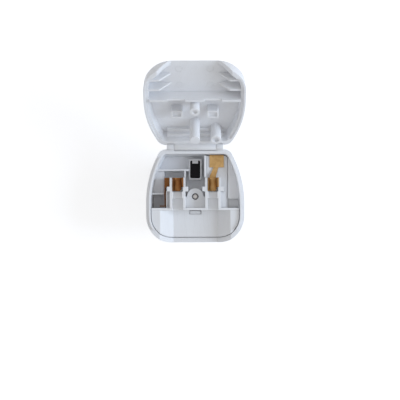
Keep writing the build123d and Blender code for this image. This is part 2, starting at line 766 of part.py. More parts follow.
# Neutral pin: sleeved brass pin with a flange and a riveted stub
with BuildPart() as neutral_pin:
    with BuildSketch():
        with Locations((-pin_x, 0)):
            Rectangle(power_pin_width - 2 * sleeve_wall, power_pin_depth - 2 * sleeve_wall)
    extrude(amount=floor_thickness)
    extrude(neutral_pin.faces().sort_by(Axis.Z)[0], amount=sleeve_length)
    with BuildSketch(Plane.XY.offset(-sleeve_length)):
        with Locations((-pin_x, 0)):
            Rectangle(power_pin_width, power_pin_depth)
    extrude(amount=sleeve_length - power_pin_length)
    chamfer(neutral_pin.faces().sort_by(Axis.Z)[0].edges(), pin_tip_length, pin_tip_chamfer)
    with BuildSketch(Plane.XY.offset(floor_thickness)):
        with Locations((-pin_x, 0)):
            RectangleRounded(power_head_width, power_head_depth, rivet_radius)
    extrude(amount=power_head_height)
    with BuildSketch(Plane.XY.offset(pin_head_top_z)):
        with Locations((-pin_x, 0)):
            Circle(rivet_radius)
    extrude(amount=strip)
    with BuildSketch(Plane.XY.offset(foot_top_z)):
        with Locations((-pin_x, 0)):
            Circle(rivet_head_radius)
    extrude(amount=rivet_head_height)
neutral_pin.part.label = "neutral_pin"
export_step(neutral_pin.part, "parts/neutral_pin.step")

# Line pin: the neutral pin mirrored across the plug
with BuildPart() as line_pin:
    mirror(neutral_pin.part, about=Plane.YZ)
line_pin.part.label = "line_pin"
export_step(line_pin.part, "parts/line_pin.step")

# Sleeve of the neutral pin
with BuildPart() as neutral_pin_sleeve:
    with BuildSketch(Plane.XY.offset(floor_thickness)):
        with Locations((-pin_x, 0)):
            Rectangle(power_pin_width, power_pin_depth)
            Rectangle(
                power_pin_width - 2 * sleeve_wall,
                power_pin_depth - 2 * sleeve_wall,
                mode=Mode.SUBTRACT,
            )
    extrude(amount=-floor_thickness - sleeve_length)
neutral_pin_sleeve.part.label = "neutral_pin_sleeve"
export_step(neutral_pin_sleeve.part, "parts/neutral_pin_sleeve.step")

# Sleeve of the line pin
with BuildPart() as line_pin_sleeve:
    mirror(neutral_pin_sleeve.part, about=Plane.YZ)
line_pin_sleeve.part.label = "line_pin_sleeve"
export_step(line_pin_sleeve.part, "parts/line_pin_sleeve.step")

# Spring clip for one guest pin: flared side walls, and a tongue that runs on below the pin
with BuildPart() as pin_clip:
    with BuildSketch(Plane.XZ.offset(-channel_end_y)):
        with Locations((0, rim_z)):
            Circle(clip_outer)
            Rectangle(2 * clip_outer, channel_top_z - rim_z, align=(Align.CENTER, Align.MIN))
            Circle(guest_pin_radius, mode=Mode.SUBTRACT)
            Rectangle(2 * guest_pin_radius, clip_outer, align=(Align.CENTER, Align.MIN), mode=Mode.SUBTRACT)
        with Locations((0, clip_base_z)):
            Rectangle(clip_flat_width, strip / 2, align=(Align.CENTER, Align.MIN))
        with BuildLine():
            Polyline(
                (guest_pin_radius, channel_top_z),
                (clip_outer, channel_top_z),
                (clip_outer + clip_flare, clip_top_z),
                (clip_outer + clip_flare - strip, clip_top_z),
                close=True,
            )
            mirror(about=Plane.YZ)
        make_face()
    extrude(amount=channel_end_y - clip_start_y)
    with BuildSketch(Plane.XY.offset(clip_base_z)):
        with BuildLine():
            Polyline(
                (clip_tongue_width / 2, clip_wall_start_y),
                (clip_tongue_width / 2, clip_start_y + clip_tongue_corner),
                (clip_tongue_width / 2 - clip_tongue_corner, clip_start_y),
                (channel_half + clip_flare, clip_start_y),
                (channel_half + clip_flare, clip_wall_start_y),
                close=True,
            )
            mirror(about=Plane.YZ)
        make_face()
    extrude(amount=clip_top_z - clip_base_z, mode=Mode.SUBTRACT)

# Line strip: plate over the fuse cap, ramp and foot under the clip
with BuildPart() as line_strip:
    with BuildSketch(Plane.YZ):
        with BuildLine():
            Polyline(
                (line_plate_end_y, deck_base_z),
                (line_plate_start_y, deck_base_z),
                (line_plate_start_y - line_ramp_length, channel_floor_z),
                (clip_start_y, channel_floor_z),
                (clip_start_y, clip_base_z),
                (line_plate_start_y - line_ramp_length, clip_base_z),
                (line_plate_start_y, line_plate_top_z),
                (line_plate_end_y, line_plate_top_z),
                close=True,
            )
        make_face()
    extrude(amount=half_width)
    with BuildSketch():
        with BuildLine():
            Polyline(
                (line_plate_left, line_plate_end_y),
                (line_plate_right, line_plate_end_y),
                (line_plate_right, line_plate_start_y),
                (line_neck_right, line_plate_start_y),
                (line_strip_right, line_plate_start_y - line_ramp_length),
                (line_strip_right, clip_start_y),
                (line_strip_left, clip_start_y),
                (line_strip_left, line_plate_start_y - line_ramp_length),
                (line_neck_left, line_plate_start_y),
                (line_plate_left, line_plate_start_y),
                close=True,
            )
        make_face()
    extrude(amount=rim_z, mode=Mode.INTERSECT)

# Line contact: clip, strip and the pad pressed down onto the fuse cap
with BuildPart() as line_contact:
    add(line_strip.part)
    with Locations((channel_x, 0)):
        add(pin_clip.part)
    with BuildSketch(Plane.XY.offset(deck_base_z)):
        with Locations((pin_x, fuse_end_y - fuse_cap_length / 2)):
            RectangleRounded(contact_pad_size, contact_pad_size, strip)
    extrude(amount=fuse_z + fuse_radius + leaf_gap - deck_base_z)
line_contact.part.label = "line_contact"
export_step(line_contact.part, "parts/line_contact.step")

# Neutral contact: clip, tab through the channel wall, upright plate and foot on the pin
with BuildPart() as neutral_contact:
    with Locations((-channel_x, 0)):
        add(pin_clip.part)
    with BuildSketch(Plane.XY.offset(channel_floor_z)):
        with Locations((neutral_plate_x, tab_start_y)):
            Rectangle(
                -line_strip_left - neutral_plate_x,
                channel_end_y - tab_start_y,
                align=(Align.MIN, Align.MIN),
            )
    extrude(amount=strip)
    with BuildSketch(Plane.YZ.offset(neutral_plate_x)):
        with BuildLine():
            Polyline(
                (channel_end_y, clip_base_z),
                (tab_start_y, clip_base_z),
                (tab_start_y, clip_base_z - neutral_step_drop),
                (neutral_plate_end_y, clip_base_z - neutral_step_drop),
                (neutral_plate_end_y, foot_top_z),
                (-foot_width / 2, foot_top_z),
                (-foot_width / 2, pin_head_top_z),
                (channel_end_y, pin_head_top_z),
                close=True,
            )
        make_face()
    extrude(amount=strip / 2, both=True)
    with BuildSketch(Plane.XY.offset(pin_head_top_z)):
        with Locations((neutral_plate_x, 0)):
            Rectangle(
                -neutral_plate_x - pin_x + power_head_width / 2 - foot_edge_gap,
                foot_width,
                align=(Align.MIN, Align.CENTER),
            )
        with Locations((-pin_x, 0)):
            Circle(rivet_radius + rivet_gap, mode=Mode.SUBTRACT)
    extrude(amount=strip)
    # Return flange beside the cross wall
    with BuildSketch(Plane.XY.offset(clip_base_z - neutral_step_drop)):
        with Locations((neutral_plate_x, neutral_plate_end_y)):
            Rectangle(neutral_flange_length, strip, align=(Align.MAX, Align.MIN))
    extrude(amount=-neutral_flange_drop)
neutral_contact.part.label = "neutral_contact"
export_step(neutral_contact.part, "parts/neutral_contact.step")

# Fuse clip: foot on the line pin with a leaf against the end of the fuse
with BuildPart() as fuse_clip:
    with BuildSketch(Plane.XY.offset(pin_head_top_z)):
        with Locations((pin_x, cross_wall_back_y + leaf_gap + strip)):
            Rectangle(
                leaf_width,
                cross_wall_back_y + leaf_gap + strip + foot_width / 2,
                align=(Align.CENTER, Align.MAX),
            )
        with Locations((pin_x, 0)):
            Rectangle(power_head_width - 2 * foot_edge_gap, foot_width - 2 * foot_edge_gap)
            Circle(rivet_radius + rivet_gap, mode=Mode.SUBTRACT)
    extrude(amount=strip)
    with BuildSketch(Plane.XY.offset(pin_head_top_z)):
        with Locations((pin_x, cross_wall_back_y + leaf_gap)):
            Rectangle(leaf_width, strip, align=(Align.CENTER, Align.MIN))
    extrude(amount=bay_top_z - leaf_top_gap - pin_head_top_z)
fuse_clip.part.label = "fuse_clip"
export_step(fuse_clip.part, "parts/fuse_clip.step")

# Cover screw, backed out so that its tip is level with the plateau
with BuildPart() as cover_screw:
    with BuildSketch(Plane.XY.offset(screw_head_recess)):
        with Locations((0, screw_y)):
            Circle(screw_head_radius)
    extrude(amount=screw_head_height)
    chamfer(cover_screw.edges().sort_by(Axis.Z)[0], screw_head_height / 4)
    with BuildSketch(Plane.XY.offset(screw_head_recess)):
        with Locations((0, screw_y)):
            Rectangle(2 * screw_head_radius, screw_slot_width)
    extrude(amount=screw_slot_depth, mode=Mode.SUBTRACT)
    with BuildSketch(Plane.XY.offset(screw_head_recess + screw_head_height)):
        with Locations((0, screw_y)):
            Circle(screw_radius)
    extrude(amount=plateau_z - screw_head_recess - screw_head_height)
    chamfer(cover_screw.edges().sort_by(Axis.Z)[-1], screw_radius / 3)
cover_screw.part.label = "cover_screw"
export_step(cover_screw.part, "parts/cover_screw.step")

# Fuse drawer: panel flush in the pin face with a saddle that grips the fuse
with BuildPart() as fuse_carrier:
    with BuildSketch(Plane.XY.offset(drawer_recess)):
        with Locations((pin_x, bay_start_y + drawer_gap)):
            Rectangle(
                bay_width - 2 * drawer_gap,
                bay_end_y - bay_start_y - 2 * drawer_gap,
                align=(Align.CENTER, Align.MIN),
            )
    extrude(amount=drawer_panel_thickness)
    with BuildSketch(Plane.XZ.offset(-fuse_start_y - fuse_length / 2)):
        with Locations((pin_x, panel_top_z)):
            Rectangle(
                bay_width - 2 * drawer_gap,
                fuse_lift + fuse_radius + saddle_rise,
                align=(Align.CENTER, Align.MIN),
            )
        with Locations((pin_x, fuse_z)):
            Circle(fuse_radius - fuse_cap_wall + saddle_fit, mode=Mode.SUBTRACT)
            Rectangle(saddle_mouth, fuse_radius, align=(Align.CENTER, Align.MIN), mode=Mode.SUBTRACT)
    extrude(amount=saddle_length / 2, both=True)
    with BuildSketch(Plane.XY.offset(drawer_recess)):
        with Locations((pin_x, bay_end_y - drawer_gap)):
            Rectangle(pull_notch_width, pull_notch_length, align=(Align.CENTER, Align.MAX))
    extrude(amount=pull_notch_depth, mode=Mode.SUBTRACT)
fuse_carrier.part.label = "fuse_carrier"
export_step(fuse_carrier.part, "parts/fuse_carrier.step")

# Fuse: ceramic barrel
with BuildPart() as fuse_barrel:
    with BuildSketch(Plane.XZ.offset(-fuse_start_y - fuse_cap_wall)):
        with Locations((pin_x, fuse_z)):
            Circle(fuse_radius - fuse_cap_wall - fuse_cap_fit)
    extrude(amount=2 * fuse_cap_wall - fuse_length)
fuse_barrel.part.label = "fuse_barrel"
export_step(fuse_barrel.part, "parts/fuse_barrel.step")

# Fuse: end cap at the line pin
with BuildPart() as fuse_cap_lower:
    with BuildSketch(Plane.XZ.offset(-fuse_start_y)):
        with Locations((pin_x, fuse_z)):
            Circle(fuse_radius)
    extrude(amount=-fuse_cap_length)
    with BuildSketch(Plane.XZ.offset(-fuse_start_y - fuse_cap_wall)):
        with Locations((pin_x, fuse_z)):
            Circle(fuse_radius - fuse_cap_wall)
    extrude(amount=-fuse_cap_length, mode=Mode.SUBTRACT)
fuse_cap_lower.part.label = "fuse_cap_lower"
export_step(fuse_cap_lower.part, "parts/fuse_cap_lower.step")

# Fuse: end cap under the line plate
with BuildPart() as fuse_cap_upper:
    mirror(fuse_cap_lower.part, about=Plane.XZ.offset(-fuse_start_y - fuse_length / 2))
fuse_cap_upper.part.label = "fuse_cap_upper"
export_step(fuse_cap_upper.part, "parts/fuse_cap_upper.step")
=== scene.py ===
import json
from math import radians

import bpy
import numpy as np
from mathutils import Matrix, Vector


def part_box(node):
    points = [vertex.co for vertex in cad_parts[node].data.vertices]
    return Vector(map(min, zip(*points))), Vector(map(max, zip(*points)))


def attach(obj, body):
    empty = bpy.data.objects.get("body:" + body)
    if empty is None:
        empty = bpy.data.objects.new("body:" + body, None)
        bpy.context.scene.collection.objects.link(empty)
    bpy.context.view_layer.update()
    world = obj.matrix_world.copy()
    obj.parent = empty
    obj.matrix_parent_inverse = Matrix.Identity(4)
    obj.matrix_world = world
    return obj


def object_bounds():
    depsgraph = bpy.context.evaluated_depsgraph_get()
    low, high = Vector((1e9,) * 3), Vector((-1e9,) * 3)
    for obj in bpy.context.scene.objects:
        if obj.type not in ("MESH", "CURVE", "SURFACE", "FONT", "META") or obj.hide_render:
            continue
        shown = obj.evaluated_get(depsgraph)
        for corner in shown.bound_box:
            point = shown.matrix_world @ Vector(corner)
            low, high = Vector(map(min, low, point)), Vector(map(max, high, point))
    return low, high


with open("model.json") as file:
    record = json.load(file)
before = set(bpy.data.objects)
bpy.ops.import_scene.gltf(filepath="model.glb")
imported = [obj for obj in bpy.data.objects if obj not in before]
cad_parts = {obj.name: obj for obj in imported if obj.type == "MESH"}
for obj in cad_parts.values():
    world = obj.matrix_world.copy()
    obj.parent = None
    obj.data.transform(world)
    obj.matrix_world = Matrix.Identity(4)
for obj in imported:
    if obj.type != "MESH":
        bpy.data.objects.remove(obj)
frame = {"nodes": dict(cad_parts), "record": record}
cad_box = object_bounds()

# Base shell
# The lower half of the housing, moulded in one shot from white polycarbonate.
# Its pin face, fuse bay, ribs and hinge knuckles all come from the same tool.


def fill(tree, socket, value):
    """Links another node's output to the socket, or sets anything else as the socket's value."""
    if isinstance(value, bpy.types.NodeSocket):
        tree.links.new(value, socket)
    else:
        socket.default_value = value


def put(tree, kind, **sockets):
    """Adds a node and fills its inputs, named with _ for a blank or numbered as i0, i1, i2."""
    node = tree.nodes.new(kind)
    for name, value in sockets.items():
        key = int(name[1:]) if name[1:].isdigit() else name.replace("_", " ")
        fill(tree, node.inputs[key], value)
    return node


def where(tree):
    """The place on the part, in metres from its origin."""
    return put(tree, "ShaderNodeTexCoord").outputs["Object"]


def stretched(tree, place, factors):
    """The place with each coordinate times its own factor; a low one draws a pattern out along its axis."""
    node = put(tree, "ShaderNodeVectorMath", i0=place, i1=factors)
    node.operation = "MULTIPLY"
    return node.outputs[0]


def noise(tree, place, scale, detail, distortion=0.0):
    """Smooth noise around a half, with about as many bumps to a metre as the scale says."""
    node = put(tree, "ShaderNodeTexNoise", Vector=place, Scale=scale, Detail=detail, Distortion=distortion)
    return node.outputs[0]


def sums(tree, operation, *values):
    """One arithmetic step on values or sockets."""
    node = tree.nodes.new("ShaderNodeMath")
    node.operation = operation
    for socket, value in zip(node.inputs, values):
        fill(tree, socket, value)
    return node.outputs[0]


def span(tree, value, low, high, start=0.0, end=1.0):
    """The value stretched from low..high onto start..end, and held there."""
    ends = {"From_Min": low, "From_Max": high, "To_Min": start, "To_Max": end}
    return put(tree, "ShaderNodeMapRange", Value=value, **ends).outputs[0]


def tint(tree, share, first, second):
    """Colour that goes from the first to the second as the share goes from 0 to 1."""
    node = tree.nodes.new("ShaderNodeMix")
    node.data_type = "RGBA"
    for number, value in ((0, share), (6, first), (7, second)):
        fill(tree, node.inputs[number], value)
    return node.outputs[2]


def effect(name, takes, gives):
    """An empty node group with the named number inputs and the named outputs."""
    group = bpy.data.node_groups.new(name, "ShaderNodeTree")
    for label, value in takes.items():
        socket = group.interface.new_socket(label, in_out="INPUT", socket_type="NodeSocketFloat")
        socket.default_value = value
    for label in gives:
        kind = "NodeSocketVector" if label == "Normal" else "NodeSocketFloat"
        group.interface.new_socket(label, in_out="OUTPUT", socket_type=kind)
    return group, group.nodes.new("NodeGroupInput").outputs, group.nodes.new("NodeGroupOutput").inputs


def use(tree, group, **values):
    """Places a group in a material with its own values and returns its outputs."""
    node = tree.nodes.new("ShaderNodeGroup")
    node.node_tree = group
    for name, value in values.items():
        node.inputs[name].default_value = value
    return node.outputs


def surface(name, **values):
    """A new material with a Principled shader that has the given constant values."""
    material = bpy.data.materials.new(name)
    material.use_nodes = True
    tree = material.node_tree
    tree.nodes.clear()
    shader = put(tree, "ShaderNodeBsdfPrincipled", **values)
    tree.links.new(shader.outputs[0], put(tree, "ShaderNodeOutputMaterial").inputs[0])
    return material, tree, shader.inputs


def relief(tree, sockets, strength, depth, height, normal):
    """Lays bumps of the given depth over a normal."""
    bump = put(tree, "ShaderNodeBump", Strength=strength, Distance=depth, Height=height, Normal=normal)
    tree.links.new(bump.outputs[0], sockets["Normal"])


def dress(name, material, edge):
    """Gives a node its material and breaks its edges by the given width, as tooling radii do."""
    same_point = 2e-6
    same_plane = radians(0.5)
    sharp = radians(30)
    node = frame["nodes"][name]
    node.material_slots[0].material = material
    joined = node.modifiers.new("joined", "WELD")
    joined.merge_threshold = same_point
    flats = node.modifiers.new("flats", "DECIMATE")
    flats.decimate_type = "DISSOLVE"
    flats.angle_limit = same_plane
    edges = node.modifiers.new("edges", "BEVEL")
    edges.width = edge
    edges.segments = 2
    edges.limit_method = "ANGLE"
    edges.angle_limit = sharp
    edges.use_clamp_overlap = False
    edges.harden_normals = True


# Skin of a moulding: fine spark grain, a faint orange peel, flow marks along the length, drifts in gloss
skin, takes, gives = effect("moulded_skin", {"Grain": 5200.0}, ("Height", "Tone", "Gloss"))
place = where(skin)
flow_draw = (1.0, 0.22, 1.0)
fine = noise(skin, place, scale=takes["Grain"], detail=2.0)
peel = noise(skin, place, scale=620.0, detail=1.0)
drift = noise(skin, place, scale=85.0, detail=3.0)
flow = noise(skin, stretched(skin, place, flow_draw), scale=340.0, detail=3.0, distortion=0.7)
smear = noise(skin, place, scale=260.0, detail=4.0, distortion=1.2)
peel_share = 0.6
fine_share = 0.25
heights = sums(skin, "MULTIPLY_ADD", peel, peel_share, sums(skin, "MULTIPLY", fine, fine_share))
flow_share = 0.45
tones = sums(skin, "MULTIPLY_ADD", flow, flow_share, sums(skin, "MULTIPLY", drift, 1.0 - flow_share))
skin.links.new(heights, gives["Height"])
skin.links.new(span(skin, tones, low=0.34, high=0.66), gives["Tone"])
skin.links.new(span(skin, smear, low=0.3, high=0.7), gives["Gloss"])

# Painted shade where walls meet: the mask grows where ambient occlusion finds other surfaces close by
corner_shade, takes, gives = effect("painted_corner_shade", {"Reach": 0.004}, ("Mask",))
cover = put(corner_shade, "ShaderNodeAmbientOcclusion", Distance=takes["Reach"])
cover.samples = 6
corner_shade.links.new(span(corner_shade, cover.outputs["AO"], low=0.75, high=0.2), gives["Mask"])

# Edges rounded and rubbed by handling: the rounded normal, and a mask where it leaves the true one,
# broken up by noise
wear, takes, gives = effect("rubbed_edges", {"Radius": 0.0003}, ("Mask", "Normal"))
rounded = put(wear, "ShaderNodeBevel", Radius=takes["Radius"])
rounded.samples = 4
true_normal = put(wear, "ShaderNodeNewGeometry").outputs["Normal"]
bend = put(wear, "ShaderNodeVectorMath", i0=rounded.outputs[0], i1=true_normal)
bend.operation = "DOT_PRODUCT"
bent = span(wear, bend.outputs["Value"], low=0.985, high=0.8)
patchy = span(wear, noise(wear, where(wear), scale=700.0, detail=4.0), low=0.35, high=0.65)
wear.links.new(sums(wear, "MULTIPLY", bent, patchy), gives["Mask"])
wear.links.new(rounded.outputs[0], gives["Normal"])

# Marks of handling: hairline scratches in two directions and sparse specks of dust
handling, takes, gives = effect("handling_marks", {"Hairs": 1.0}, ("Scratch", "Speck"))
place = where(handling)
hairs = []
for angle, squeeze in ((0.6, 0.045), (-0.9, 0.06)):
    lay = put(
        handling, "ShaderNodeMapping", Vector=place, Rotation=(0.3, 0.2, angle), Scale=(1.0, squeeze, 1.0)
    )
    line = noise(handling, lay.outputs[0], scale=1900.0, detail=1.0)
    hairs.append(span(handling, line, low=0.66, high=0.72))
scratch = sums(handling, "MULTIPLY", sums(handling, "MAXIMUM", *hairs), takes["Hairs"])
handling.links.new(scratch, gives["Scratch"])
cell = put(handling, "ShaderNodeTexVoronoi", Vector=place, Scale=420.0)
draw = put(handling, "ShaderNodeSeparateColor", Color=cell.outputs["Color"]).outputs[0]
bare_share = 0.8
dusted = sums(handling, "GREATER_THAN", draw, bare_share)
dot = span(handling, cell.outputs[0], low=0.07, high=0.03)
handling.links.new(sums(handling, "MULTIPLY", dusted, dot), gives["Speck"])


def white_moulding(name, clean, aged, dust_and_shade, glow, depth):
    """White plastic that drifts between two near whites, with painted shade in corners, hairlines and
    specks.

    The glow is the share of light that goes into the plastic and comes out again about a depth away.
    """
    material, tree, sockets = surface(
        name,
        Specular_IOR_Level=0.45,
        IOR=1.49,
        Subsurface_Weight=glow,
        Subsurface_Radius=(1, 1, 1),
        Subsurface_Scale=depth,
    )
    coat = use(tree, skin)
    corner_shading = use(tree, corner_shade, Reach=0.0018)
    marks = use(tree, handling, Hairs=1.0)
    edge = use(tree, wear, Radius=0.00035)
    body = tint(tree, coat["Tone"], clean, aged)
    # The first mask is painted shade in corners; the hairlines and specks are real marks
    for mask, share in ((corner_shading["Mask"], 0.25), (marks["Scratch"], 0.12), (marks["Speck"], 0.7)):
        body = tint(tree, sums(tree, "MULTIPLY", mask, share), body, dust_and_shade)
    tree.links.new(body, sockets["Base Color"])
    scratch_matt = 0.10
    edge_polish = -0.10
    matt = span(tree, coat["Gloss"], low=0.0, high=1.0, start=0.36, end=0.48)
    matt = sums(tree, "MULTIPLY_ADD", marks["Scratch"], scratch_matt, matt)
    matt = sums(tree, "MULTIPLY_ADD", edge["Mask"], edge_polish, matt)
    tree.links.new(matt, sockets["Roughness"])
    relief(tree, sockets, strength=0.35, depth=0.00006, height=coat["Height"], normal=edge["Normal"])
    return material


# The last colour is that of dust and scratches, and also of the painted shade in corners
shell_colours = {
    "clean": (0.80, 0.81, 0.835, 1),
    "aged": (0.775, 0.78, 0.80, 1),
    "dust_and_shade": (0.58, 0.57, 0.56, 1),
}
shell_white = white_moulding("shell_white", **shell_colours, glow=0.42, depth=0.0025)
shell_edge = 0.00005
dress("base_shell", shell_white, shell_edge)

# Earth pin
# A dummy pin in black polyamide that opens the shutters of the socket.
# It drops in from above, and its flat head sits in a frame.


def dark_moulding(name, clean, scuffed):
    """Black plastic with a slow drift, greyer on rubbed edges and along lengthwise scratches.

    The scratches are only on what goes into a socket: they set in just below the pin face, at z = 0.
    """
    material, tree, sockets = surface(name, Specular_IOR_Level=0.11, IOR=1.5)
    coat = use(tree, skin, Grain=6400.0)
    edge = use(tree, wear, Radius=0.0005)
    place = where(tree)
    rubs = noise(tree, stretched(tree, place, (1.0, 1.0, 0.05)), scale=2300.0, detail=2.0)
    height = put(tree, "ShaderNodeSeparateXYZ", Vector=place).outputs["Z"]
    exposed = span(tree, height, low=-0.0005, high=-0.003, start=0.0, end=0.8)
    scratch = sums(tree, "MULTIPLY", span(tree, rubs, low=0.58, high=0.70), exposed)
    worn = sums(tree, "MAXIMUM", edge["Mask"], scratch)
    drift = 1.6
    faded = tuple(drift * value for value in clean[:3]) + (1,)
    body = tint(tree, coat["Tone"], clean, faded)
    tree.links.new(tint(tree, worn, body, scuffed), sockets["Base Color"])
    worn_matt = 0.12
    matt = span(tree, coat["Gloss"], low=0.0, high=1.0, start=0.36, end=0.55)
    tree.links.new(sums(tree, "MULTIPLY_ADD", worn, worn_matt, matt), sockets["Roughness"])
    relief(tree, sockets, strength=0.4, depth=0.00006, height=coat["Height"], normal=edge["Normal"])
    return material


pin_black = dark_moulding("pin_black", clean=(0.0042, 0.0040, 0.0053, 1), scuffed=(0.026, 0.025, 0.027, 1))
black_edge = 0.00012
dress("earth_pin", pin_black, black_edge)

# Line and neutral pins
# Solid brass bars, drawn and cropped, with tapered tips; a riveted stub on top holds a contact.
# Each has a black sleeve round its upper half, moulded on.

# Skin of drawn or rolled metal: lines as fine along each axis as its input says, and blotchy stains
fineness = {"X": 14.0, "Y": 14.0, "Z": 14.0}
rolled, takes, gives = effect("rolled_metal", fineness, ("Height", "Streak", "Stain"))
place = where(rolled)
factors = put(rolled, "ShaderNodeCombineXYZ", X=takes["X"], Y=takes["Y"], Z=takes["Z"]).outputs[0]
lines = noise(rolled, stretched(rolled, place, factors), scale=320.0, detail=4.0)
blotch = noise(rolled, place, scale=330.0, detail=5.0, distortion=0.8)
rolled.links.new(lines, gives["Height"])
rolled.links.new(span(rolled, lines, low=0.3, high=0.7), gives["Streak"])
rolled.links.new(span(rolled, blotch, low=0.42, high=0.7), gives["Stain"])


def bare_metal(name, bright, stained, rough, grain, shade_along=None):
    """Drawn metal with streaks, darker stains, painted shade in corners, and brighter rubbed edges.

    The grain says how fine the streaks are along each axis, so they run along the axis with the lowest.
    Corners go towards the two colours multiplied, which is how light looks that has bounced twice.
    Where the last argument gives an axis, two places on it and a share, the metal goes that far towards the
    same colour from the first place to the second, as painted shade on the part that lies deeper in shadow.
    """
    material, tree, sockets = surface(name, Metallic=1.0)
    sheet = use(tree, rolled, X=grain[0], Y=grain[1], Z=grain[2])
    corner_shading = use(tree, corner_shade, Reach=0.002)
    edge = use(tree, wear, Radius=0.00012)
    dark = tuple(first * second for first, second in zip(bright[:3], stained[:3])) + (1,)
    polish = 1.35
    polished = tuple(min(1.0, polish * value) for value in bright[:3]) + (1,)
    streak_share = 0.18
    corner_share = 0.6
    edge_share = 0.5
    body = tint(tree, sheet["Stain"], bright, stained)
    body = tint(tree, sums(tree, "MULTIPLY", sheet["Streak"], streak_share), body, stained)
    # Painted shade: corners darken towards the colour of light that has bounced twice
    body = tint(tree, sums(tree, "MULTIPLY", corner_shading["Mask"], corner_share), body, dark)
    # Painted shade along an axis, darker where the part lies deeper in shadow
    if shade_along:
        axis, start, end, share = shade_along
        along = put(tree, "ShaderNodeSeparateXYZ", Vector=where(tree)).outputs[axis]
        body = tint(tree, span(tree, along, low=start, high=end, start=0.0, end=share), body, dark)
    body = tint(tree, sums(tree, "MULTIPLY", edge["Mask"], edge_share), body, polished)
    tree.links.new(body, sockets["Base Color"])
    smoother = 0.07
    rougher = 0.09
    matt = span(tree, sheet["Streak"], low=0.0, high=1.0, start=rough - smoother, end=rough + rougher)
    tree.links.new(matt, sockets["Roughness"])
    relief(tree, sockets, strength=0.35, depth=0.00005, height=sheet["Height"], normal=edge["Normal"])
    return material


pin_brass = bare_metal(
    "pin_brass",
    bright=(0.56, 0.38, 0.145, 1),
    stained=(0.47, 0.31, 0.115, 1),
    rough=0.30,
    grain=(14, 14, 0.7),
)
brass_edge = 0.00018
for side in ("line", "neutral"):
    dress(side + "_pin", pin_brass, brass_edge)
    dress(side + "_pin_sleeve", pin_black, black_edge)

# Fuse drawer
# A small tray in natural polyamide that slides out of the pin face and carries the fuse in a saddle.
# The fuse is a ceramic tube with a plated cap pressed on each end.
drawer_white = white_moulding(
    "drawer_white",
    clean=(0.74, 0.75, 0.76, 1),
    aged=(0.70, 0.705, 0.705, 1),
    dust_and_shade=(0.50, 0.49, 0.48, 1),
    glow=0.4,
    depth=0.0012,
)
drawer_edge = 0.00012
dress("fuse_carrier", drawer_white, drawer_edge)
barrel_white = white_moulding(
    "barrel_white",
    clean=(0.77, 0.75, 0.71, 1),
    aged=(0.73, 0.71, 0.66, 1),
    dust_and_shade=(0.52, 0.50, 0.46, 1),
    glow=0.15,
    depth=0.0008,
)
barrel_edge = 0.00005
dress("fuse_barrel", barrel_white, barrel_edge)
cap_nickel = bare_metal(
    "cap_nickel",
    bright=(0.62, 0.60, 0.565, 1),
    stained=(0.55, 0.53, 0.495, 1),
    rough=0.27,
    grain=(0.4, 14, 0.4),
)
cap_edge = 0.00004
for end in ("upper", "lower"):
    dress("fuse_cap_" + end, cap_nickel, cap_edge)

# Contacts
# Spring brass, stamped and bent: each has a U clip at one end and a strip to a pin or to the fuse.
# The line one is bright and the neutral one darker, both with painted shade where they lie deep; a brass
# leaf joins the line pin to the fuse.
line_brass = bare_metal(
    "line_brass",
    bright=(0.50, 0.325, 0.145, 1),
    stained=(0.37, 0.225, 0.09, 1),
    rough=0.44,
    grain=(14, 1, 14),
    # Painted shade: darker from the strip down into the clip in its channel
    shade_along=("Y", 0.022, 0.0175, 0.35),
)
neutral_brass = bare_metal(
    "neutral_brass",
    bright=(0.30, 0.145, 0.055, 1),
    stained=(0.20, 0.085, 0.03, 1),
    rough=0.46,
    grain=(14, 1, 14),
    # Painted shade: darker towards the tab beyond the channel wall, which lies deep in shadow
    shade_along=("X", -0.0105, -0.0135, 0.5),
)
strip_edge = 0.00003
leaf_edge = 0.00006
dress("line_contact", line_brass, strip_edge)
dress("neutral_contact", neutral_brass, strip_edge)
dress("fuse_clip", line_brass, leaf_edge)

# Insert
# A second white moulding that drops into the base: trough, cross wall and the two channels for the clips.
# A latch in its slot and the cover screw hold it down.
insert_white = white_moulding(
    "insert_white",
    clean=(0.805, 0.815, 0.835, 1),
    aged=(0.78, 0.785, 0.80, 1),
    dust_and_shade=(0.59, 0.58, 0.57, 1),
    glow=0.25,
    depth=0.0012,
)
insert_edge = 0.00011
dress("contact_carrier", insert_white, insert_edge)

# Cover screw
# A zinc plated steel screw with a slotted head, driven from the pin face; its tip shows in the boss.
# The thread is rolled and is a helical ridge round the shank.
screw_zinc = bare_metal(
    "screw_zinc",
    bright=(0.45, 0.435, 0.425, 1),
    stained=(0.34, 0.325, 0.315, 1),
    rough=0.36,
    grain=(14, 14, 14),
)
screw_edge = 0.00012
dress("cover_screw", screw_zinc, screw_edge)


def ring_stack(name, points, material, body):
    """Piece of closed shells: points[shell, ring, sector] are joined in quads from ring to ring.

    The first ring and the last ring of each shell are capped.
    """
    index = np.arange(points[..., 0].size).reshape(points.shape[:3])
    beside = np.roll(index, -1, axis=2)
    sides = np.stack((index[:, :-1], beside[:, :-1], beside[:, 1:], index[:, 1:]), axis=-1)
    faces = sides.reshape(-1, 4).tolist() + index[:, 0, ::-1].tolist() + index[:, -1].tolist()
    mesh = bpy.data.meshes.new(name)
    mesh.from_pydata(points.reshape(-1, 3).tolist(), [], faces)
    mesh.shade_smooth()
    mesh.set_sharp_from_angle(angle=radians(32))
    mesh.materials.append(material)
    piece = bpy.data.objects.new(name, mesh)
    bpy.context.scene.collection.objects.link(piece)
    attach(piece, body)


